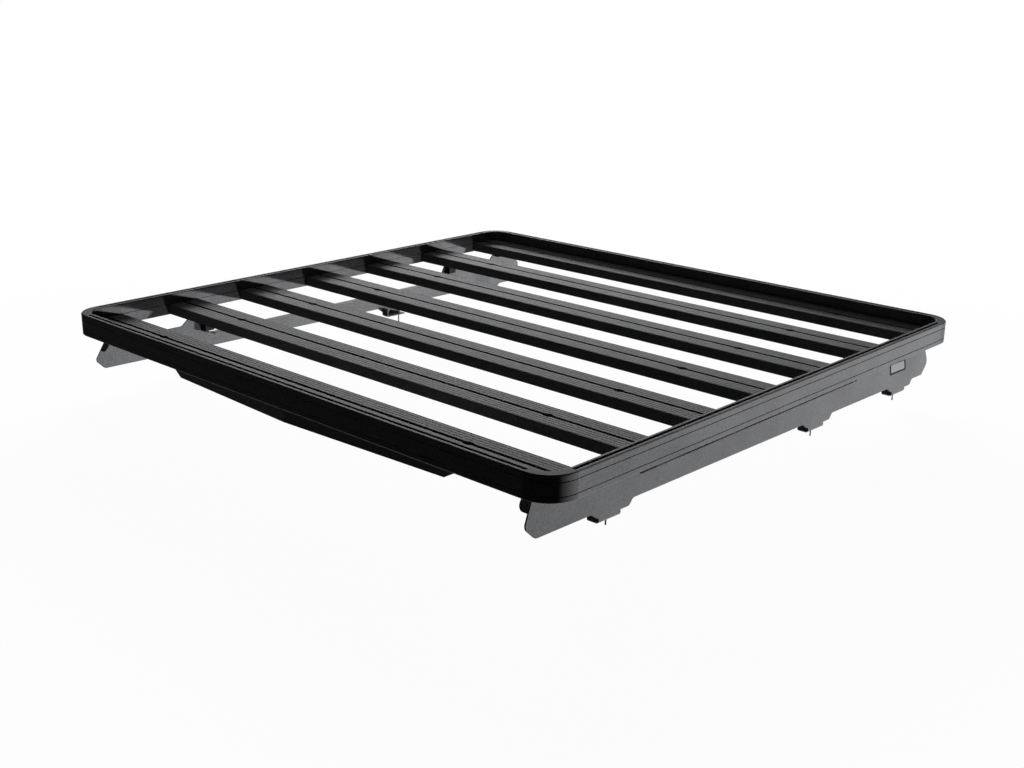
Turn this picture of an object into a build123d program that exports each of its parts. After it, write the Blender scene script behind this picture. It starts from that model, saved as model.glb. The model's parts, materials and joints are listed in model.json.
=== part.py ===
"""Flat platform roof rack: a framed deck of slotted slats on two sheet-metal foot rails.

Two frames are used. The deck frame has its origin at the middle of the deck, level with the top
of the rim. The roof frame has the stud tips on z = 0. The deck is pitched a little, nose down,
between the two, so that the feet follow a roof that falls towards the rear.
"""
from build123d import *
import math
import os

# Deck, outside sizes
deck_width = 1425.0
deck_length = 1358.0
deck_pitch = 0.93
rim_above_studs = 176.5

# Perimeter extrusion and corner castings
rim_height = 47.5
rim_width = 21.0
rim_top_chamfer = 1.8
rim_bottom_chamfer = 1.2
profile_wall = 2.4
rim_groove_width = 7.0
rim_groove_depth = 6.5
line_width = 1.4
line_depth = 1.0
upper_line_drop = 12.5
lower_line_drop = 37.0
inner_line_drop = 23.0
corner_radius = 58.0
corner_straight = 4.0
spigot_length = 32.0
spigot_clearance = 0.3

# Slats
slat_count = 7
slat_end_margin = 73.0
slat_width = 83.0
slat_height = 22.0
slat_drop = 23.5
slat_wall = 2.2
slat_edge_radius = 2.5
slot_mouth = 8.5
slot_lip = 3.0
slot_channel_width = 16.5
slot_channel_depth = 6.5
notch_offset = 460.0
notch_width = 15.0
notch_length = 21.5
notch_flat = 9.0
rib_groove_width = 1.6
rib_groove_depth = 0.8
rib_groove_count = 4
rib_groove_pitch = 8.4
rib_groove_start = 12.0
slat_end_clearance = 0.5

# Foot rails, bent from sheet
sheet = 3.0
rail_inset = 62.5
rail_lean = 7.7
rail_bottom_height = 39.6
rail_bottom_rise = 3.5
rail_low_drop = 94.5
rail_high_drop = 66.0
rail_nose_inset = 13.0
rail_nose_chamfer = 23.0
rail_nose_chamfer_height = 22.0
rail_nose_radius = 11.0
rail_tail_overhang = 29.0
rail_tail_height = 54.0
rail_tail_slope = 9.0
rail_tail_round = 24.0
rail_tail_chamfer = 31.0
rail_tail_radius = 16.0
rail_front_inset = 12.0
rail_rear_clearance = 0.5
hanger_length = 40.0
hanger_end_length = 62.0
hanger_run = 22.0
hanger_end_run = 16.0
hanger_radius = 7.0
dip_run = 12.0
aft_hanger_setback = 16.0
aft_dip_run = 18.0
flange_width = 20.0
flange_end_inset = 6.0
front_flange_width = 25.0
front_flange_height = 37.0
front_flange_radius = 12.0

# Feet on the rails, and the studs through them
front_foot_inset = 235.0
rear_foot_inset = 101.0
middle_foot_spacing = 353.0
foot_tab_width = 22.0
foot_tab_front = 44.5
foot_tab_rear = 17.0
foot_tab_drop = 21.5
foot_tab_bend = 3.0
foot_toe_chamfer = 2.5
foot_lobe_drop = 11.0
foot_lobe_front_run = 16.0
foot_lobe_rear = 41.0
foot_lobe_rear_run = 12.0
foot_lobe_radius = 10.0
stud_inset = 16.5
stud_diameter = 3.2
stud_shoulder_diameter = 4.0
stud_shoulder_drop = 0.5
stud_clearance = 0.2
nut_across_flats = 7.0
nut_height = 4.0

# Brackets between the slats and the rails
bracket_slats = (0, 1, slat_count - 2, slat_count - 1)
bracket_offsets = (6.0, 22.0, 7.0, 0.0)
bracket_heights = (12.0, 41.0, 31.0, 12.0)
bracket_names = ("front", "forward", "aft", "rear")
bracket_length = 24.0
bracket_block_width = 20.0
bracket_arm = 44.0
bracket_arm_thickness = 5.0
bracket_radius = 6.0

# Wind deflector under the front slat
deflector_half_span = 424.0
deflector_centre_setback = 35.0
deflector_sweep = 38.0
deflector_centre_drop = 92.0
deflector_end_drop = 101.5
deflector_end_cut = 22.0
deflector_end_cut_height = 12.5
deflector_flange = 24.0

# Places that follow from the sizes above
half_width = deck_width / 2
half_length = deck_length / 2
slat_bottom = -slat_drop - slat_height
slat_span = deck_width - 2 * rim_width
slat_pitch = (deck_length - 2 * slat_end_margin) / (slat_count - 1)
slat_ys = [slat_pitch * (i - (slat_count - 1) / 2) for i in range(slat_count)]
bracket_ys = [slat_ys[i] + offset for i, offset in zip(bracket_slats, bracket_offsets)]
corner_reach = corner_radius + corner_straight
forward_hanger_y = slat_ys[1]
aft_hanger_y = slat_ys[-2] + aft_hanger_setback
rail_face_x = half_width - rail_inset
tab_inner_x = rail_face_x - foot_tab_width
rail_nose_y = -half_length + rail_nose_inset
rail_tail_y = half_length + rail_tail_overhang
rail_front_y = slat_ys[0] - slat_width / 2 + rail_front_inset
rim_below_slats = rim_height - slat_drop - slat_height
rail_rear_y = half_length - rim_width - rim_below_slats - rail_rear_clearance
rear_foot_y = half_length - rear_foot_inset
foot_positions = (-half_length + front_foot_inset, rear_foot_y - middle_foot_spacing, rear_foot_y)
stud_x = rail_face_x - stud_inset
deck_place = Location((0, 0, rim_above_studs), (deck_pitch, 0, 0))


def rect_face(u0, z0, u1, z1):
    """A rectangle between two corners of a section drawn in u and z."""
    return Pos((u0 + u1) / 2, (z0 + z1) / 2) * Rectangle(abs(u1 - u0), abs(z1 - z0))


def outline_face(corners):
    """A closed outline through corners given as a point and the radius that rounds it."""
    points = [point for point, _ in corners]
    radii = [radius for _, radius in corners]
    return make_face(FilletPolyline(*points, radius=radii, close=True))


def deck_point(y, z):
    """A point of the deck's side view, in the roof frame."""
    turn = math.radians(deck_pitch)
    return (
        y * math.cos(turn) - z * math.sin(turn),
        rim_above_studs + y * math.sin(turn) + z * math.cos(turn),
    )


# Perimeter extrusion: u runs inwards from the outer face, z down from the rim's top

def rim_block():
    """The outer shape of the rim section with its shadow lines, before the cell is cut."""
    block = rect_face(0, -rim_height, rim_width, 0)
    block = chamfer(block.vertices().group_by(Axis.Y)[-1], rim_top_chamfer)
    outer_bottom = block.vertices().sort_by_distance((0, -rim_height, 0))[0]
    block = chamfer(outer_bottom, rim_bottom_chamfer)
    for drop in (upper_line_drop, lower_line_drop):
        block -= rect_face(0, -drop - line_width / 2, line_depth, -drop + line_width / 2)
    return block


def rim_cell(clearance=0.0):
    """The hollow of the rim section, or the spigot that fills it with a clearance all round."""
    top = -rim_groove_depth - profile_wall
    inset = profile_wall + line_depth + clearance
    return rect_face(inset, -rim_height + profile_wall + clearance, rim_width - inset, top - clearance)


def rim_section():
    """The whole rim section: hollow, with a groove along its top and a line inside."""
    middle = rim_width / 2
    groove = rect_face(
        middle - rim_groove_width / 2, -rim_groove_depth, middle + rim_groove_width / 2, 0
    )
    inner_line = rect_face(
        rim_width - line_depth,
        -inner_line_drop - line_width / 2,
        rim_width,
        -inner_line_drop + line_width / 2,
    )
    return rim_block() - rim_cell() - groove - inner_line


def side_plane(side):
    """The start plane of a section swept along Y on the side at +X or -X, with u pointing inwards."""
    origin = (side * half_width, -half_length + corner_reach, 0)
    return Plane(origin, x_dir=(-side, 0, 0), z_dir=(0, side, 0))


def end_plane(end):
    """The start plane of a section swept along X at the end at +Y or -Y, with u pointing inwards."""
    origin = (end * (corner_reach - half_width), end * half_length, 0)
    return Plane(origin, x_dir=(0, -end, 0), z_dir=(-end, 0, 0))


def side_profile(side):
    run = deck_length - 2 * corner_reach
    plane = side_plane(side)
    return extrude(plane * rim_section(), amount=run, dir=(0, 1, 0))


def end_profile(end):
    run = deck_width - 2 * corner_reach
    return extrude(end_plane(end) * rim_section(), amount=run, dir=(end, 0, 0))


def corner_casting(side, end):
    """A quarter turn of the rim, with short straight ends and a spigot into each extrusion."""
    centre_x = half_width - corner_radius
    centre_y = half_length - corner_radius
    block = rim_block()
    spigot = rim_cell(spigot_clearance)
    start = Plane((half_width, centre_y, 0), x_dir=(-1, 0, 0), z_dir=(0, 1, 0))
    finish = Plane((centre_x, half_length, 0), x_dir=(0, -1, 0), z_dir=(-1, 0, 0))
    turn = revolve(start * block, axis=Axis((centre_x, centre_y, 0), (0, 0, 1)), revolution_arc=90)
    straight_side = extrude(start * block, amount=corner_straight, dir=(0, -1, 0))
    straight_end = extrude(finish * block, amount=corner_straight, dir=(-1, 0, 0))
    spigot_side = extrude(start * spigot, amount=corner_straight + spigot_length, dir=(0, -1, 0))
    spigot_end = extrude(finish * spigot, amount=corner_straight + spigot_length, dir=(-1, 0, 0))
    casting = turn + straight_side + straight_end + spigot_side + spigot_end
    if side < 0:
        casting = mirror(casting, about=Plane.YZ)
    if end < 0:
        casting = mirror(casting, about=Plane.XZ)
    return casting


# Slats

def t_slot(level, up):
    """A T-shaped slot that opens at a level of the slat section, upwards or downwards."""
    lip = level - up * slot_lip
    floor = lip - up * slot_channel_depth
    mouth = rect_face(-slot_mouth / 2, lip, slot_mouth / 2, level)
    return mouth + rect_face(-slot_channel_width / 2, floor, slot_channel_width / 2, lip)


def slat_section():
    """Slat section about its own middle: slots above and below, a cell each side, ribs on top."""
    half_w = slat_width / 2
    half_h = slat_height / 2
    section = Rectangle(slat_width, slat_height)
    section = fillet(section.vertices().group_by(Axis.Y)[-1], slat_edge_radius)
    section -= t_slot(half_h, 1)
    section -= t_slot(-half_h, -1)
    cell_start = slot_channel_width / 2 + slat_wall
    cell_end = half_w - slat_wall
    cell_half = half_h - slat_wall - rib_groove_depth
    for side in (-1, 1):
        section -= rect_face(side * cell_start, -cell_half, side * cell_end, cell_half)
        for i in range(rib_groove_count):
            u = side * (rib_groove_start + i * rib_groove_pitch)
            section -= rect_face(
                u - rib_groove_width / 2, half_h - rib_groove_depth, u + rib_groove_width / 2, half_h
            )
    return section


def notch_plan():
    """A notch in plan: wide along its middle, with ends that taper to the slot's mouth."""
    right = [
        (notch_flat / 2, notch_width / 2),
        (notch_length / 2, slot_mouth / 2),
        (notch_length / 2, -slot_mouth / 2),
        (notch_flat / 2, -notch_width / 2),
    ]
    left = [(-x, -y) for x, y in right]
    return make_face(Polyline(*right, *left, close=True))


def slat(index):
    """A slat across the deck; the end slats lose the corners that would meet the castings."""
    y = slat_ys[index]
    plane = Plane((-slat_span / 2, y, slat_bottom + slat_height / 2), x_dir=(0, 1, 0), z_dir=(1, 0, 0))
    bar = extrude(plane * slat_section(), amount=slat_span, dir=(1, 0, 0))
    for x in (-notch_offset, notch_offset):
        notch = Pos(x, y, -slat_drop - slot_lip) * notch_plan()
        bar -= extrude(notch, amount=slot_lip, dir=(0, 0, 1))
    if index in (0, slat_count - 1):
        bar -= corner_keep_out(math.copysign(1, y))
    return bar


def corner_keep_out(end):
    """What lies outside the castings' inner arcs at both corners of one end of the deck."""
    inner_radius = corner_radius - rim_width - slat_end_clearance
    block = Pos(corner_radius / 2, corner_radius / 2, -rim_height / 2) * Box(
        corner_radius, corner_radius, rim_height
    )
    block -= Pos(0, 0, -rim_height / 2) * Cylinder(inner_radius, rim_height)
    block = Pos(half_width - corner_radius, half_length - corner_radius, 0) * block
    if end < 0:
        block = mirror(block, about=Plane.XZ)
    return block + mirror(block, about=Plane.YZ)


# Foot rails, drawn in side view in the roof frame with y along and z up. The web leans inwards

def bottom_at(y):
    """The height of the web's bottom edge, which climbs a little from nose to tail."""
    return rail_bottom_height + rail_bottom_rise * (y - rail_nose_y) / (rail_tail_y - rail_nose_y)


def web_x(z):
    """Where the web's outer face is at a height over the roof."""
    return rail_face_x - (z - rail_bottom_height) * math.tan(math.radians(rail_lean))


def leaning_slab(inset, thickness):
    """A plate parallel to the web, whose outer face lies this far inside the web's own."""
    slab = Pos(-inset - thickness / 2, 0, 0) * Box(thickness, 2 * deck_length, 2 * deck_length)
    return Pos(rail_face_x, 0, rail_bottom_height) * Rot(0, -rail_lean, 0) * slab


def across(side_view):
    """A side view drawn in y and z, drawn out from the middle of the rack to its side."""
    return extrude(Plane.YZ * side_view, amount=half_width, dir=(1, 0, 0))


def hanger_corners(start, run_before, drop_before, end, run_after, drop_after):
    """The raised part of a rail's top edge, where it meets the underside of a slat."""
    points = [
        deck_point(start - run_before, -drop_before),
        deck_point(start, slat_bottom),
        deck_point(end, slat_bottom),
        deck_point(end + run_after, -drop_after),
    ]
    return [(point, hanger_radius) for point in points]


def rail_top_corners():
    """The rail's top edge from nose to tail: high ends, and a long low stretch between."""
    half_hanger = hanger_length / 2
    forward = forward_hanger_y
    aft = aft_hanger_y
    front_rise = rail_front_y + hanger_end_length
    rear_rise = rail_rear_y - hanger_end_length
    corners = [
        (deck_point(rail_front_y, slat_bottom), sheet),
        (deck_point(front_rise, slat_bottom), hanger_radius),
        (deck_point(front_rise + hanger_end_run, -rail_high_drop), hanger_radius),
    ]
    corners += hanger_corners(
        forward - half_hanger, hanger_run, rail_high_drop, forward + half_hanger, dip_run, rail_low_drop
    )
    corners += hanger_corners(
        aft - half_hanger, aft_dip_run, rail_low_drop, aft + half_hanger, hanger_run, rail_high_drop
    )
    return corners + [
        (deck_point(rear_rise - hanger_end_run, -rail_high_drop), hanger_radius),
        (deck_point(rear_rise, slat_bottom), hanger_radius),
        (deck_point(rail_rear_y, slat_bottom), sheet),
    ]


def foot_corners(y):
    """The web's bottom edge round one foot, from its rear to its front."""
    lobe = bottom_at(y) - foot_lobe_drop
    rear = y + foot_lobe_rear
    front = y - foot_tab_front
    rear_end = rear + foot_lobe_rear_run
    front_end = front - foot_lobe_front_run
    return [
        ((rear_end, bottom_at(rear_end)), foot_lobe_radius),
        ((rear, lobe), foot_lobe_radius),
        ((front, lobe), sheet),
        ((front_end, bottom_at(front_end)), foot_lobe_radius),
    ]


def rail_outline():
    """The side view of the rail's web, down to where the foot tabs are folded from it."""
    tail_end = rail_tail_y - rail_tail_chamfer
    tail_bottom = bottom_at(tail_end)
    tail = [
        ((rail_tail_y - rail_tail_slope, tail_bottom + rail_tail_height), rail_tail_radius),
        ((rail_tail_y, tail_bottom + rail_tail_round), rail_tail_radius),
        ((tail_end, tail_bottom), sheet),
    ]
    bottom = []
    for y in reversed(foot_positions):
        bottom += foot_corners(y)
    nose_end = rail_nose_y + rail_nose_chamfer
    nose = [
        ((nose_end, bottom_at(nose_end)), rail_nose_radius),
        ((rail_nose_y, bottom_at(nose_end) + rail_nose_chamfer_height), rail_nose_radius),
    ]
    return rail_top_corners() + tail + bottom + nose


def foot_tab(y):
    """The tab folded in under one foot, with the wall that closes its front end."""
    seam_z = bottom_at(y) - foot_lobe_drop
    under_z = bottom_at(y) - foot_tab_drop
    top_z = under_z + sheet
    skin = sheet / math.cos(math.radians(rail_lean))
    section = make_face(
        Polyline(
            (web_x(seam_z), seam_z),
            (web_x(under_z), under_z),
            (tab_inner_x, under_z),
            (tab_inner_x, top_z),
            (web_x(top_z) - skin, top_z),
            (web_x(seam_z) - skin, seam_z),
            close=True,
        )
    )
    outer_bend = section.vertices().sort_by_distance((web_x(under_z), under_z, 0))[0]
    section = fillet(outer_bend, foot_tab_bend + sheet)
    inner_bend = section.vertices().sort_by_distance((web_x(top_z) - skin, top_z, 0))[0]
    section = fillet(inner_bend, foot_tab_bend)
    wall = make_face(
        Polyline(
            (tab_inner_x, under_z + sheet / 2),
            (web_x(under_z) - foot_tab_bend, under_z + sheet / 2),
            (web_x(seam_z) - skin / 2, seam_z),
            (web_x(bottom_at(y)) - skin / 2, bottom_at(y)),
            (tab_inner_x, bottom_at(y)),
            close=True,
        )
    )
    plane = Plane((0, y - foot_tab_front, 0), x_dir=(1, 0, 0), z_dir=(0, -1, 0))
    tab = extrude(plane * section, amount=foot_tab_front + foot_tab_rear, dir=(0, 1, 0))
    tab += extrude(plane * wall, amount=sheet, dir=(0, 1, 0))
    toe = tab.edges().filter_by(Axis.X).group_by(Axis.Y)[0].sort_by(Axis.Z)[0]
    tab = chamfer(toe, foot_toe_chamfer)
    hole = Cylinder(stud_shoulder_diameter / 2 + stud_clearance, foot_tab_drop)
    return tab - Pos(stud_x, y, top_z) * hole


def low_flange():
    """The flange folded in along the web's low stretch."""
    start = forward_hanger_y + hanger_length / 2 + dip_run + flange_end_inset
    end = aft_hanger_y - hanger_length / 2 - aft_dip_run - flange_end_inset
    band = Pos(half_width / 2, (start + end) / 2, -rail_low_drop - sheet / 2) * Box(
        half_width, end - start, sheet
    )
    return (deck_place * band) & leaning_slab(0, flange_width)


def front_flange():
    """The flange folded in along the upper part of the rail's slanted front edge."""
    top_y, top_z = deck_point(rail_front_y, slat_bottom)
    nose_z = bottom_at(rail_nose_y + rail_nose_chamfer) + rail_nose_chamfer_height
    share = front_flange_height / (top_z - nose_z)
    low_y = top_y + share * (rail_nose_y - top_y)
    low_z = top_z - front_flange_height
    slanted = across(
        make_face(
            Polyline(
                (top_y, top_z),
                (low_y, low_z),
                (low_y + sheet, low_z),
                deck_point(rail_front_y + sheet, slat_bottom),
                close=True,
            )
        )
    )
    inner_x = web_x(low_z) - front_flange_width
    front_view = rect_face(inner_x, low_z, half_width, rim_above_studs)
    toe = front_view.vertices().sort_by_distance((inner_x, low_z, 0))[0]
    front_view = fillet(toe, front_flange_radius)
    view_plane = Plane((0, 0, 0), x_dir=(1, 0, 0), z_dir=(0, -1, 0))
    rounded = extrude(view_plane * front_view, amount=deck_length, dir=(0, -1, 0))
    return slanted & rounded & leaning_slab(0, 2 * front_flange_width)


def foot_rail(side):
    """One rail: the web with its front flange, a flange along its low stretch and a tab at each foot."""
    rail = across(outline_face(rail_outline())) & leaning_slab(0, sheet)
    rail += low_flange()
    rail += front_flange()
    for y in foot_positions:
        rail += foot_tab(y)
    return rail if side > 0 else mirror(rail, about=Plane.YZ)


def foot_stud(side, y):
    """A stud hanging through its tab from a hexagon nut, thicker where it passes the tab."""
    under_z = bottom_at(y) - foot_tab_drop
    seat = under_z + sheet
    shoulder_z = under_z - stud_shoulder_drop
    stud = Pos(0, 0, shoulder_z / 2) * Cylinder(stud_diameter / 2, shoulder_z)
    stud += Pos(0, 0, (shoulder_z + seat) / 2) * Cylinder(stud_shoulder_diameter / 2, seat - shoulder_z)
    nut_face = Pos(0, 0, seat) * RegularPolygon(nut_across_flats / 2, 6, major_radius=False)
    stud += extrude(nut_face, amount=nut_height, dir=(0, 0, 1))
    return Pos(side * stud_x, y, 0) * stud


def rail_bracket(side, y, height):
    """An angle block: an arm under the slat and a heel of some height against the inside of the rail."""
    arm_z = slat_bottom - bracket_arm_thickness
    foot_z = slat_bottom - height
    _, foot_level = deck_point(y, foot_z)
    heel_x = web_x(foot_level) - sheet - bracket_block_width
    arm_x = heel_x - bracket_arm
    face = make_face(
        Polyline(
            (rail_face_x, slat_bottom),
            (arm_x, slat_bottom),
            (arm_x, arm_z),
            (heel_x, arm_z),
            (heel_x, foot_z),
            (rail_face_x, foot_z),
            close=True,
        )
    )
    toe = face.vertices().sort_by_distance((heel_x, foot_z, 0))[0]
    face = fillet(toe, bracket_radius)
    plane = Plane((0, y + bracket_length / 2, 0), x_dir=(1, 0, 0), z_dir=(0, -1, 0))
    bracket = deck_place * extrude(plane * face, amount=bracket_length, dir=(0, -1, 0))
    bracket -= leaning_slab(sheet - rail_inset, rail_inset)
    return bracket if side > 0 else mirror(bracket, about=Plane.YZ)


def deflector(side):
    """Half of the wind deflector: a swept-back sheet with a flange under the front slat."""
    angle = math.degrees(math.atan2(deflector_sweep, deflector_half_span))
    length = math.hypot(deflector_sweep, deflector_half_span)
    front_y = -half_length + deflector_centre_setback
    face = make_face(
        Polyline(
            (0, slat_bottom),
            (0, -deflector_centre_drop),
            (length - deflector_end_cut, -deflector_end_drop),
            (length, -deflector_end_drop + deflector_end_cut_height),
            (length, slat_bottom),
            close=True,
        )
    )
    sheet_plane = Plane((0, 0, 0), x_dir=(1, 0, 0), z_dir=(0, -1, 0))
    plate = extrude(sheet_plane * face, amount=sheet, dir=(0, 1, 0))
    plate += Pos(length / 2, deflector_flange / 2, slat_bottom - sheet / 2) * Box(
        length, deflector_flange, sheet
    )
    plate = Pos(0, front_y, 0) * Rot(0, 0, angle) * plate
    meeting = Pos(-deck_width / 2, 0, 0) * Box(deck_width, deck_length * 2, deck_width)
    plate -= meeting
    return plate if side > 0 else mirror(plate, about=Plane.YZ)


# Assembly: the deck's pieces are pitched into place, and the rest stand in the roof frame

SIDES = {"left": -1, "right": 1}
ENDS = {"front": -1, "rear": 1}

pieces = {}
for end_name, end in ENDS.items():
    pieces[f"{end_name}_profile"] = deck_place * end_profile(end)
for side_name, side in SIDES.items():
    pieces[f"{side_name}_profile"] = deck_place * side_profile(side)
    for end_name, end in ENDS.items():
        pieces[f"{end_name}_{side_name}_corner"] = deck_place * corner_casting(side, end)
for index in range(slat_count):
    pieces[f"slat_{index + 1}"] = deck_place * slat(index)
for side_name, side in SIDES.items():
    pieces[f"{side_name}_foot_rail"] = foot_rail(side)
    for name, y in zip(("front", "middle", "rear"), foot_positions):
        pieces[f"{side_name}_{name}_stud"] = foot_stud(side, y)
    for name, y, height in zip(bracket_names, bracket_ys, bracket_heights):
        pieces[f"{side_name}_{name}_bracket"] = rail_bracket(side, y, height)
    pieces[f"{side_name}_deflector"] = deck_place * deflector(side)

# The origin is on the floor, under the middle of the whole rack
box = Compound(list(pieces.values())).bounding_box()
to_origin = Pos(-box.center().X, -box.center().Y, -box.min.Z)

os.makedirs("parts", exist_ok=True)
for name, piece in pieces.items():
    export_step(to_origin * piece, f"parts/{name}.step")
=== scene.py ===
import json
import math

import bmesh
import bpy
from mathutils import Matrix, Vector


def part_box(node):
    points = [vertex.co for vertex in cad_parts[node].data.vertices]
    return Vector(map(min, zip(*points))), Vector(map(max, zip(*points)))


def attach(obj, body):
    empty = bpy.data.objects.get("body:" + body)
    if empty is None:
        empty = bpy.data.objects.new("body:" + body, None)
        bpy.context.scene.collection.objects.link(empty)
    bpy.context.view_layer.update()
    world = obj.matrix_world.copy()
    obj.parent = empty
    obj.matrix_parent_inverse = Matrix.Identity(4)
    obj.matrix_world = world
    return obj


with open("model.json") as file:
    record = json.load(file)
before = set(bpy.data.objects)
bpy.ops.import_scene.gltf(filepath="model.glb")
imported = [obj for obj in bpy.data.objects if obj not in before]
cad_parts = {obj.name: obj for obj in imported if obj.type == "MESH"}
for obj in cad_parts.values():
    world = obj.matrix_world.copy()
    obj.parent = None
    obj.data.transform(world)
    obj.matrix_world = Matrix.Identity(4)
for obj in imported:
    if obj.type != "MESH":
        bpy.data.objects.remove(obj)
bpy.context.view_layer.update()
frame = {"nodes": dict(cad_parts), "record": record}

NODES = frame["nodes"]
MM = 0.001

# Camera, fitted to the deck's straight edges: its place is in millimetres from the deck's middle,
# and its angles are in degrees
IMAGE_WIDTH = 1024
FOCAL_PIXELS = 1315.223
SENSOR_MM = 36.0
CAMERA_FROM_DECK_MM = (1929.064, -2076.61, 751.863)
CAMERA_AZIMUTH = 42.977
CAMERA_PITCH = 17.871
CAMERA_ROLL = 0.668
CAMERA_CLIP_END = 500

# Deck: a slat's centre lies this far under the top of the rim
SLAT_CENTRE_DROP = 34.5 * MM

# Bolts: M6 hexagon heads on washers, under the bracket arms and under the deflector's flange
BOLT_FLATS = 10 * MM
BOLT_HEAD = 4 * MM
HEAD_SIDES = 6
WASHER_RADIUS = 6 * MM
WASHER_THICKNESS = 1.2 * MM
WASHER_SIDES = 32
EDGE_BREAK = 0.4 * MM
BRACKET_ARM = 44 * MM
DEFLECTOR_SWEEP = 38 * MM
DEFLECTOR_BOLT_REACHES = (70 * MM, 210 * MM, 350 * MM)
DEFLECTOR_BOLT_SETBACK = 13.5 * MM
RAY_START = 50 * MM

# Bare plate on the right rail, in a dark frame that is painted shade round the plate, widest at its
# rear and lower edges:
# the frame's middle is found by a ray from the right, and sizes are length, height and thickness
FRAME_RAY_START = 1000 * MM
FRAME_Y = 553 * MM
FRAME_Z = 81.5 * MM
FRAME_SIZE = (72 * MM, 23.5 * MM, 0.6 * MM)
PLATE_SIZE = (62.5 * MM, 18.5 * MM, 1.4 * MM)
# The plate sits off the frame's middle, so the dark frame shows widest at its rear and lower edges
# as painted shade
PLATE_OFFSET = (-3.2 * MM, 2.0 * MM)
PLATE_RADIUS = 1.5 * MM
CORNER_STEPS = 6

# Coats: a fine grain and a broad mottle share the tone, edges are rounded, and the insides of slots
# and grooves are darkened with painted shade
FINE_DETAIL = 3.0
FINE_SHARE = 0.65
BROAD_SCALE = 9.0
BROAD_DETAIL = 4.0
BROAD_SHARE = 0.35
NOISE_LOW, NOISE_HIGH = 0.3, 0.7
ROUGHNESS_SPREAD = 0.05
GRAIN_TO_HEIGHT = 0.25
EDGE_ROUNDING = 1.2 * MM
EDGE_SAMPLES = 6
# Painted shade in slots and grooves: how far the occlusion looks, its samples, the openness range
# it maps, and the darkest tone it paints
PAINTED_SHADE_REACH = 15 * MM
PAINTED_SHADE_SAMPLES = 8
PAINTED_SHADE_CLOSED, PAINTED_SHADE_OPEN = 0.38, 0.56
PAINTED_SHADE_TONE = 0.05

# Stage: the floor's glow for the camera rises from FLOOR_WHITE to 1 between two distances in metres
FLOOR_SIZE = 160.0
FLOOR_PAINT = 0.05
FLOOR_SPREAD = 0.02
FLOOR_GRAIN_SCALE = 40.0
FLOOR_GRAIN_DETAIL = 2.0
FLOOR_WHITE = 0.97
WHITE_FROM, WHITE_TO = 1.5, 6.0
AMBIENT = 0.012


def node_centre(name):
    low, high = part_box(name)
    return (Vector(low) + Vector(high)) / 2


def deck_matrix():
    """The deck's frame in the row frame: at the middle of the rim's top, pitched with the slats."""
    along = node_centre("slat_7") - node_centre("slat_1")
    pitch = Matrix.Rotation(math.atan2(along.z, along.y), 4, "X")
    origin = node_centre("slat_4") + pitch @ Vector((0, 0, SLAT_CENTRE_DROP))
    return Matrix.Translation(origin) @ pitch


# Materials


def new_material(name):
    material = bpy.data.materials.new(name)
    material.use_nodes = True
    nodes = material.node_tree.nodes
    nodes.clear()
    return material, nodes, material.node_tree.links


def noise(nodes, links, coords, scale, detail):
    texture = nodes.new("ShaderNodeTexNoise")
    texture.inputs["Scale"].default_value = scale
    texture.inputs["Detail"].default_value = detail
    links.new(coords.outputs["Object"], texture.inputs["Vector"])
    return texture.outputs["Fac"]


def map_range(nodes, links, value, from_min, from_max, to_min, to_max):
    mapped = nodes.new("ShaderNodeMapRange")
    mapped.inputs["From Min"].default_value = from_min
    mapped.inputs["From Max"].default_value = from_max
    mapped.inputs["To Min"].default_value = to_min
    mapped.inputs["To Max"].default_value = to_max
    links.new(value, mapped.inputs["Value"])
    return mapped.outputs["Result"]


def scaled(nodes, links, value, factor):
    product = nodes.new("ShaderNodeMath")
    product.operation = "MULTIPLY"
    product.inputs[1].default_value = factor
    links.new(value, product.inputs[0])
    return product.outputs["Value"]


def joined(nodes, links, operation, first, second):
    both = nodes.new("ShaderNodeMath")
    both.operation = operation
    links.new(first, both.inputs[0])
    links.new(second, both.inputs[1])
    return both.outputs["Value"]


def painted_crevice_shade(nodes, links):
    """Painted shade: an occlusion factor of 1 on open faces, falling nearly to 0 inside slots and
    grooves.
    """
    open_sky = nodes.new("ShaderNodeAmbientOcclusion")
    open_sky.inputs["Distance"].default_value = PAINTED_SHADE_REACH
    open_sky.samples = PAINTED_SHADE_SAMPLES
    openness = open_sky.outputs["AO"]
    return map_range(nodes, links, openness, PAINTED_SHADE_CLOSED, PAINTED_SHADE_OPEN, PAINTED_SHADE_TONE, 1.0)


def relief(nodes, links, height, grain, strength):
    """A normal that rounds sharp edges a little and carries the coat's grain."""
    edges = nodes.new("ShaderNodeBevel")
    edges.samples = EDGE_SAMPLES
    edges.inputs["Radius"].default_value = EDGE_ROUNDING
    bump = nodes.new("ShaderNodeBump")
    bump.inputs["Strength"].default_value = strength
    bump.inputs["Distance"].default_value = grain * GRAIN_TO_HEIGHT
    links.new(height, bump.inputs["Height"])
    links.new(edges.outputs["Normal"], bump.inputs["Normal"])
    return bump.outputs["Normal"]


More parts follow.
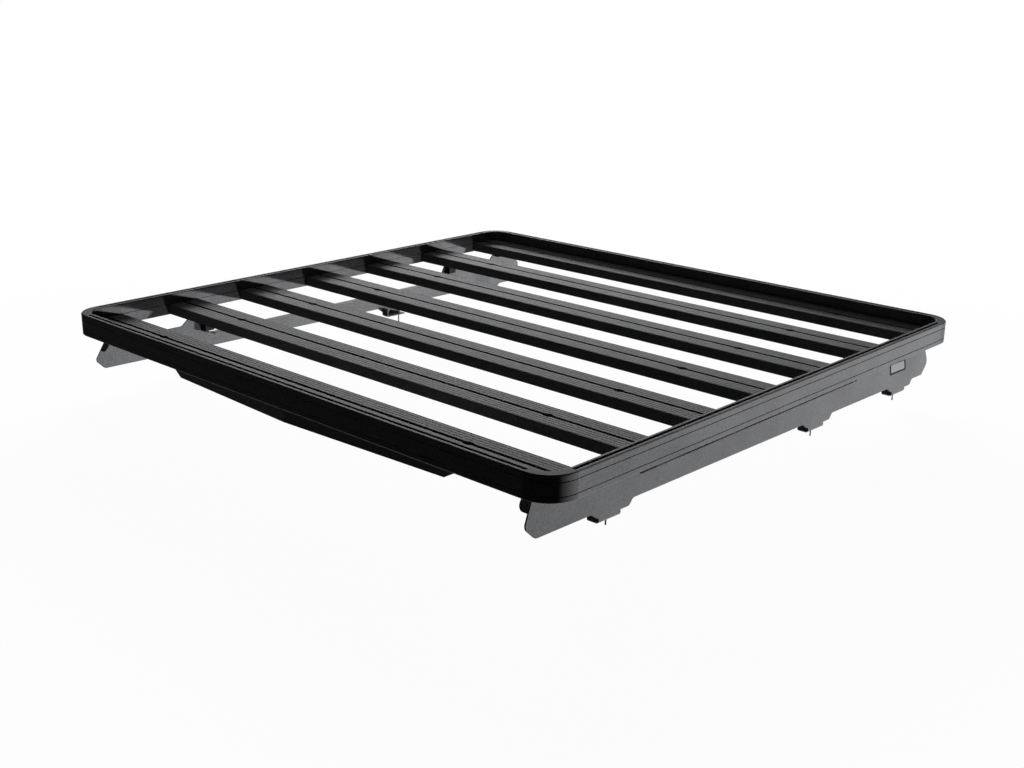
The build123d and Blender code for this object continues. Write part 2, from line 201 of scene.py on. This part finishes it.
def coat(name, dark, light, roughness, grain, bump, specular):
    """A coat: colour, roughness and relief follow procedural noise, and slots and grooves are
    darkened with painted shade.
    """
    material, nodes, links = new_material(name)
    out = nodes.new("ShaderNodeOutputMaterial")
    shader = nodes.new("ShaderNodeBsdfPrincipled")
    shader.inputs["Specular IOR Level"].default_value = specular
    links.new(shader.outputs["BSDF"], out.inputs["Surface"])
    coords = nodes.new("ShaderNodeTexCoord")
    fine = noise(nodes, links, coords, 1 / grain, FINE_DETAIL)
    broad = noise(nodes, links, coords, BROAD_SCALE, BROAD_DETAIL)
    fine_part = scaled(nodes, links, fine, FINE_SHARE)
    broad_part = scaled(nodes, links, broad, BROAD_SHARE)
    mottle = joined(nodes, links, "ADD", fine_part, broad_part)
    colour = nodes.new("ShaderNodeMix")
    colour.data_type = "RGBA"
    colour.inputs["A"].default_value = (*dark, 1)
    colour.inputs["B"].default_value = (*light, 1)
    blend = map_range(nodes, links, mottle, NOISE_LOW, NOISE_HIGH, 0.0, 1.0)
    links.new(blend, colour.inputs["Factor"])
    # The base colour is multiplied by painted shade that darkens slots and grooves
    painted_shade_mix = nodes.new("ShaderNodeMix")
    painted_shade_mix.data_type = "RGBA"
    painted_shade_mix.blend_type = "MULTIPLY"
    painted_shade_mix.inputs["Factor"].default_value = 1.0
    links.new(colour.outputs["Result"], painted_shade_mix.inputs["A"])
    links.new(painted_crevice_shade(nodes, links), painted_shade_mix.inputs["B"])
    links.new(painted_shade_mix.outputs["Result"], shader.inputs["Base Color"])
    smooth, rough = roughness - ROUGHNESS_SPREAD, roughness + ROUGHNESS_SPREAD
    gloss = map_range(nodes, links, fine, NOISE_LOW, NOISE_HIGH, smooth, rough)
    links.new(gloss, shader.inputs["Roughness"])
    links.new(relief(nodes, links, fine, grain, bump), shader.inputs["Normal"])
    return material


def textured_black(name):
    """The powder coat of the extrusions and rails."""
    dark, light = (0.066, 0.067, 0.07), (0.134, 0.135, 0.139)
    return coat(name, dark, light, roughness=0.7, grain=4.2 * MM, bump=0.35, specular=0.028)


COATS = {
    "deck_coat": textured_black("deck_coat"),
    "rail_coat": textured_black("rail_coat"),
    "corner_coat": coat(
        "corner_coat", (0.064, 0.065, 0.067), (0.084, 0.085, 0.088),
        roughness=0.7, grain=1.6 * MM, bump=0.15, specular=0.02,
    ),
    "bracket_coat": coat(
        "bracket_coat", (0.012, 0.012, 0.013), (0.024, 0.024, 0.025),
        roughness=0.8, grain=1.4 * MM, bump=0.2, specular=0.01,
    ),
    "stud_steel": coat(
        "stud_steel", (0.012, 0.012, 0.013), (0.03, 0.03, 0.031),
        roughness=0.42, grain=0.7 * MM, bump=0.15, specular=0.2,
    ),
}
PLATE_SATIN = coat(
    "plate_satin", (0.15, 0.15, 0.153), (0.2, 0.2, 0.204),
    roughness=0.6, grain=1.2 * MM, bump=0.1, specular=0.02,
)


def dress_solids():
    for part in frame["record"]["subparts"]:
        node = NODES[part["node"]]
        node.data.materials.clear()
        node.data.materials.append(COATS[part["material_slot"]])


# Small pieces that sit on the solids


def add_piece(name, mesh, matrix):
    piece = bpy.data.objects.new(name, mesh)
    piece.matrix_world = matrix
    bpy.context.scene.collection.objects.link(piece)
    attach(piece, "root")
    return piece


def finished_mesh(name, shape, material):
    mesh = bpy.data.meshes.new(name)
    shape.to_mesh(mesh)
    shape.free()
    mesh.materials.append(material)
    return mesh


def seat(node_name, start, direction):
    """A frame where a ray first meets a solid: z out of the face, x along the row's Y or X."""
    node = NODES[node_name]
    into = node.matrix_world.inverted()
    found, place, normal, _ = node.ray_cast(into @ Vector(start), into.to_3x3() @ Vector(direction))
    if not found:
        raise ValueError(f"the ray misses {node_name}")
    out = (node.matrix_world.to_3x3() @ normal).normalized()
    along = Vector((0, 1, 0)) if abs(out.x) > 0.5 else Vector((1, 0, 0))
    side = (along - along.dot(out) * out).normalized()
    turn = Matrix((side, out.cross(side), out)).transposed().to_4x4()
    return Matrix.Translation(node.matrix_world @ place) @ turn


def break_upper_edges(shape, verts, bottom):
    near = {edge for vert in verts for edge in vert.link_edges}
    upper = [edge for edge in near if all(vert.co.z > bottom for vert in edge.verts)]
    bmesh.ops.bevel(shape, geom=upper, offset=EDGE_BREAK, segments=2, profile=0.6, affect="EDGES")


def add_prism(shape, sides, radius, bottom, top):
    middle = (top + bottom) / 2
    made = bmesh.ops.create_cone(
        shape, cap_ends=True, segments=sides, radius1=radius, radius2=radius, depth=top - bottom,
        matrix=Matrix.Translation((0, 0, middle)),
    )
    break_upper_edges(shape, made["verts"], middle)


def bolt_mesh():
    """A washer with a hexagon head on it, seated at z = 0."""
    shape = bmesh.new()
    add_prism(shape, WASHER_SIDES, WASHER_RADIUS, 0, WASHER_THICKNESS)
    head_top = WASHER_THICKNESS + BOLT_HEAD
    add_prism(shape, HEAD_SIDES, BOLT_FLATS / math.sqrt(3), WASHER_THICKNESS, head_top)
    return finished_mesh("bolt", shape, COATS["stud_steel"])


def plate_mesh(name, size, material):
    """A thin plate with rounded corners and broken outer edges, seated at z = 0."""
    length, height, thickness = size
    shape = bmesh.new()
    outline = []
    for corner, (x_sign, y_sign) in enumerate(((1, 1), (-1, 1), (-1, -1), (1, -1))):
        x = x_sign * (length / 2 - PLATE_RADIUS)
        y = y_sign * (height / 2 - PLATE_RADIUS)
        for step in range(CORNER_STEPS + 1):
            angle = math.pi / 2 * (corner + step / CORNER_STEPS)
            place = (x + PLATE_RADIUS * math.cos(angle), y + PLATE_RADIUS * math.sin(angle), 0)
            outline.append(shape.verts.new(place))
    base = shape.faces.new(outline)
    grown = bmesh.ops.extrude_face_region(shape, geom=[base])
    raised = [item for item in grown["geom"] if isinstance(item, bmesh.types.BMVert)]
    bmesh.ops.translate(shape, verts=raised, vec=(0, 0, thickness))
    break_upper_edges(shape, raised, thickness / 2)
    bmesh.ops.recalc_face_normals(shape, faces=shape.faces)
    return finished_mesh(name, shape, material)


def add_bolt(node_name, name, mesh, x, y):
    """A bolt on the underside of a solid, above a place on the floor."""
    low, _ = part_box(node_name)
    bolt = add_piece(name, mesh, seat(node_name, (x, y, low[2] - RAY_START), (0, 0, 1)))


def add_bolts():
    """One bolt under each bracket arm, and three under the flange of each deflector half."""
    mesh = bolt_mesh()
    for side, sign in (("left", -1), ("right", 1)):
        for place in ("front", "forward", "aft", "rear"):
            bracket = f"{side}_{place}_bracket"
            low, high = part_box(bracket)
            inner_end = low[0] if sign > 0 else high[0]
            x = inner_end + sign * BRACKET_ARM / 2
            add_bolt(bracket, f"{bracket}_bolt", mesh, x, (low[1] + high[1]) / 2)
        deflector = f"{side}_deflector"
        low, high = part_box(deflector)
        for number, reach in enumerate(DEFLECTOR_BOLT_REACHES, 1):
            swept = DEFLECTOR_SWEEP * reach / (high[0] - low[0])
            y = low[1] + swept + DEFLECTOR_BOLT_SETBACK
            add_bolt(deflector, f"{deflector}_bolt_{number}", mesh, sign * reach, y)


def add_plate():
    """The bare plate and its dark frame of painted shade, flat on the leaning web of the right
    rail.
    """
    on_web = seat("right_foot_rail", (FRAME_RAY_START, FRAME_Y, FRAME_Z), (-1, 0, 0))
    # The dark frame is painted shade round the plate
    shade_frame_mesh = plate_mesh("plate_shade_frame", FRAME_SIZE, COATS["bracket_coat"])
    plate_shade_frame = add_piece("plate_shade_frame", shade_frame_mesh, on_web)
    in_frame = Matrix.Translation((*PLATE_OFFSET, 0))
    add_piece("bare_plate", plate_mesh("bare_plate", PLATE_SIZE, PLATE_SATIN), on_web @ in_frame)


# Stage: a pale floor that reads as white, and soft light


def paths_to_background(nodes, links):
    """1 for camera, glossy and transmission rays, 0 for the rays that light the object."""
    path = nodes.new("ShaderNodeLightPath").outputs
    shiny = joined(nodes, links, "MAXIMUM", path["Is Glossy Ray"], path["Is Transmission Ray"])
    return joined(nodes, links, "MAXIMUM", path["Is Camera Ray"], shiny)


def floor_material():
    """Pale paint that takes the shadows, with a white glow for the rays that see the background."""
    material, nodes, links = new_material("pale_floor")
    out = nodes.new("ShaderNodeOutputMaterial")
    coords = nodes.new("ShaderNodeTexCoord")
    tone = nodes.new("ShaderNodeMix")
    tone.data_type = "RGBA"
    tone.inputs["A"].default_value = (FLOOR_PAINT * (1 - FLOOR_SPREAD),) * 3 + (1,)
    tone.inputs["B"].default_value = (FLOOR_PAINT * (1 + FLOOR_SPREAD),) * 3 + (1,)
    grain = noise(nodes, links, coords, FLOOR_GRAIN_SCALE, FLOOR_GRAIN_DETAIL)
    links.new(grain, tone.inputs["Factor"])
    paint = nodes.new("ShaderNodeBsdfDiffuse")
    links.new(tone.outputs["Result"], paint.inputs["Color"])
    length = nodes.new("ShaderNodeVectorMath")
    length.operation = "LENGTH"
    links.new(coords.outputs["Object"], length.inputs[0])
    distance = length.outputs["Value"]
    white = map_range(nodes, links, distance, WHITE_FROM, WHITE_TO, FLOOR_WHITE, 1.0)
    glow = nodes.new("ShaderNodeEmission")
    strength = joined(nodes, links, "MULTIPLY", white, paths_to_background(nodes, links))
    links.new(strength, glow.inputs["Strength"])
    both = nodes.new("ShaderNodeAddShader")
    links.new(paint.outputs["BSDF"], both.inputs[0])
    links.new(glow.outputs["Emission"], both.inputs[1])
    links.new(both.outputs["Shader"], out.inputs["Surface"])
    return material


def build_floor():
    """A level floor. It takes shadows and casts none, so the lower lamps shine up through it."""
    half = FLOOR_SIZE / 2
    corners = [(-half, -half, 0), (half, -half, 0), (half, half, 0), (-half, half, 0)]
    mesh = bpy.data.meshes.new("floor")
    mesh.from_pydata(corners, [], [(0, 1, 2, 3)])
    mesh.materials.append(floor_material())
    floor = bpy.data.objects.new("floor", mesh)
    floor.visible_shadow = False
    bpy.context.scene.collection.objects.link(floor)


def build_world():
    """White where the background shows, and a weak even light on the object."""
    world = bpy.data.worlds.new("studio")
    world.use_nodes = True
    nodes = world.node_tree.nodes
    links = world.node_tree.links
    nodes.clear()
    out = nodes.new("ShaderNodeOutputWorld")
    light = nodes.new("ShaderNodeBackground")
    light.inputs["Color"].default_value = (1, 1, 1, 1)
    light.inputs["Strength"].default_value = AMBIENT
    white = nodes.new("ShaderNodeBackground")
    white.inputs["Color"].default_value = (1, 1, 1, 1)
    mix = nodes.new("ShaderNodeMixShader")
    links.new(paths_to_background(nodes, links), mix.inputs["Fac"])
    links.new(light.outputs["Background"], mix.inputs[1])
    links.new(white.outputs["Background"], mix.inputs[2])
    links.new(mix.outputs["Shader"], out.inputs["Surface"])
    bpy.context.scene.world = world


def area_light(name, place, aim, width, height, watts):
    data = bpy.data.lights.new(name, "AREA")
    data.shape = "RECTANGLE"
    data.size = width
    data.size_y = height
    data.energy = watts
    lamp = bpy.data.objects.new(name, data)
    lamp.location = place
    lamp.rotation_euler = (Vector(aim) - Vector(place)).to_track_quat("-Z", "Y").to_euler()
    bpy.context.scene.collection.objects.link(lamp)


def build_lights():
    """Two lamps that shine up through the floor, and a large one at the left rear."""
    area_light("low_right_rear", (4.2, 4.9, -1.45), (0, 0, 0.12), width=0.6, height=0.3, watts=930)
    area_light("under", (0, 1.1, -4.0), (0, 0, 0.1), width=1.5, height=0.5, watts=260)
    area_light("high_left_rear", (-6.8, 6.9, 2.4), (0, 0, 0.15), width=6.5, height=1.5, watts=1650)


def build_camera():
    """The camera at the photograph's angle."""
    azimuth = math.radians(CAMERA_AZIMUTH)
    pitch = math.radians(CAMERA_PITCH)
    roll = math.radians(CAMERA_ROLL)
    level = math.cos(pitch)
    back = Vector((math.sin(azimuth) * level, -math.cos(azimuth) * level, math.sin(pitch)))
    right = Vector((math.cos(azimuth), math.sin(azimuth), 0))
    up = back.cross(right)
    rolled_right = math.cos(roll) * right + math.sin(roll) * up
    rolled_up = math.cos(roll) * up - math.sin(roll) * right
    turn = Matrix((rolled_right, rolled_up, back)).transposed().to_4x4()
    data = bpy.data.cameras.new("camera")
    data.sensor_width = SENSOR_MM
    data.lens = SENSOR_MM * FOCAL_PIXELS / IMAGE_WIDTH
    data.clip_end = CAMERA_CLIP_END
    camera = bpy.data.objects.new("camera", data)
    from_deck = Matrix.Translation(Vector(CAMERA_FROM_DECK_MM) * MM)
    camera.matrix_world = deck_matrix() @ from_deck @ turn
    bpy.context.scene.collection.objects.link(camera)
    bpy.context.scene.camera = camera


dress_solids()
add_bolts()
add_plate()
build_floor()
build_world()
build_lights()
build_camera()
bpy.context.scene.view_settings.view_transform = "Standard"
